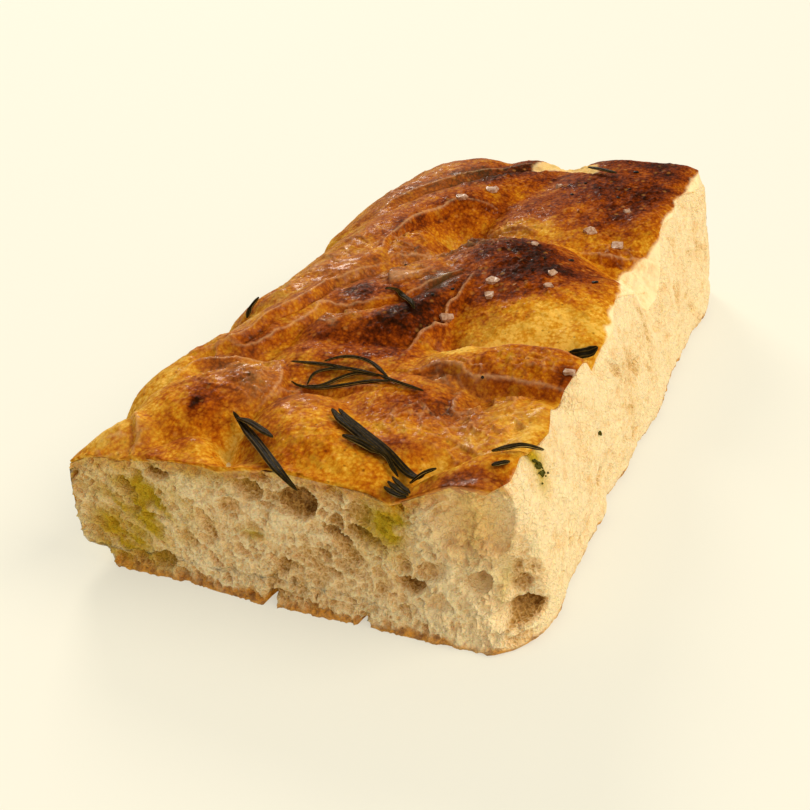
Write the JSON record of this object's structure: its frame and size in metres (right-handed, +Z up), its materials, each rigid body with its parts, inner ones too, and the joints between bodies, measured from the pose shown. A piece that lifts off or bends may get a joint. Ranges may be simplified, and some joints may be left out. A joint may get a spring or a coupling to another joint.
{
  "type": "rosemary focaccia slab",
  "caption": "Long slab of rosemary focaccia with a puffed glossy crust, an open crumb at the cut end, sea salt flakes and rosemary leaves, resting on its flat base.",
  "frame": {"origin": "centre of the slab's box, on the surface that its base rests on", "axes": "+X across the slab to its pale right side, +Y from the open cut end to the back along the length, +Z up through the crust"},
  "size_m": [0.1172, 0.2025, 0.0471],
  "materials": {
    "crust": "baked crust brushed with olive oil, glossy golden to dark brown",
    "crumb": "open wheat crumb, matt, pale yellow",
    "rosemary": "roasted rosemary leaf, dark olive, slightly waxy",
    "salt": "coarse sea salt flake, milky and translucent"
  },
  "bodies": {
    "root": {"bread": "crust", "rosemary_pair": "rosemary", "rosemary_sprig": "rosemary", "rosemary_bundle": "rosemary", "rosemary_tips": "rosemary", "rosemary_needle_centre": "rosemary", "rosemary_needle_left": "rosemary", "rosemary_leaf_right": "rosemary", "rosemary_needle_front_right": "rosemary", "rosemary_bit_front_right": "rosemary", "rosemary_needle_back": "rosemary"}
  },
  "joints": []
}
